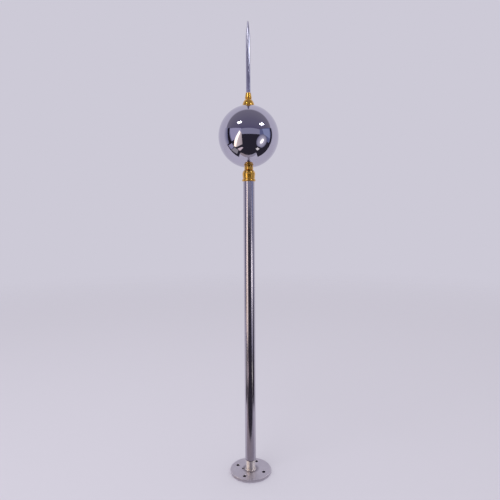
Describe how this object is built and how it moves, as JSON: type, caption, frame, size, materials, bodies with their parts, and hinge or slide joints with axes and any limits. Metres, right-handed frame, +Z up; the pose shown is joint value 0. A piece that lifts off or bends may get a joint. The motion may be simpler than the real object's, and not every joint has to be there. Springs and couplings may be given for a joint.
{
  "type": "lightning rod",
  "caption": "Ball-type lightning rod: bolted flange foot, steel tube mast, hollow mirror-polished ball held between turned brass fittings, and a pointed steel needle on top.",
  "frame": {"origin": "centre of the flange's underside, on the mast's axis", "axes": "+Z up the mast towards the needle's tip; the earth hole lies on -X; the picture is taken from -Y"},
  "size_m": [0.2, 0.2, 1.5388],
  "materials": {
    "flange_steel": "satin",
    "tube_steel": "polished",
    "weld_steel": "satin",
    "mirror_steel": "mirror polished",
    "needle_steel": "polished",
    "polished_brass": "polished"
  },
  "bodies": {
    "root": {"base_flange": "flange_steel", "spigot": "tube_steel", "spigot_weld": "weld_steel", "mast_tube": "tube_steel", "tube_cap": "polished_brass", "neck": "polished_brass", "ball_lower_half": "mirror_steel", "ball_upper_half": "mirror_steel", "bell": "polished_brass", "needle_ferrule": "polished_brass", "needle": "needle_steel"}
  },
  "joints": []
}
